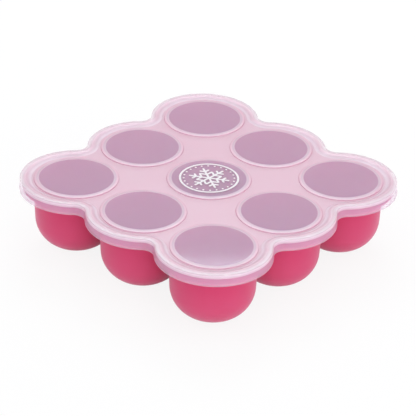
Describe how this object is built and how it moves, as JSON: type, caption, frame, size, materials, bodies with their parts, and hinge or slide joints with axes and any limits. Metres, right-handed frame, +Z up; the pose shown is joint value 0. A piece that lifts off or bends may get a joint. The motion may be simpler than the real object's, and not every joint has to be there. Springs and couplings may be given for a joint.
{
  "type": "baby food freezer tray",
  "caption": "Soft silicone freezer tray with a square grid of round cups and a scalloped translucent clip-on lid that lifts off.",
  "frame": {"origin": "on the ground under the middle cup, the centre of the bottom of the bounding box", "axes": "+Z up through the cups; +X and +Y along the two rows of the square grid"},
  "size_m": [0.216, 0.216, 0.0538],
  "materials": {
    "tray_silicone": "soft satin pink silicone",
    "lid_silicone": "milky translucent silicone",
    "print_ink": "flat white ink"
  },
  "bodies": {
    "tray": {"tray": "tray_silicone"},
    "lid": {"lid": "lid_silicone", "centre_print": "print_ink"}
  },
  "joints": [
    {"name": "lid_lift", "type": "slide", "parent": "tray", "child": "lid", "axis": [0, 0, 1], "range_m": [0, 0.08]}
  ]
}
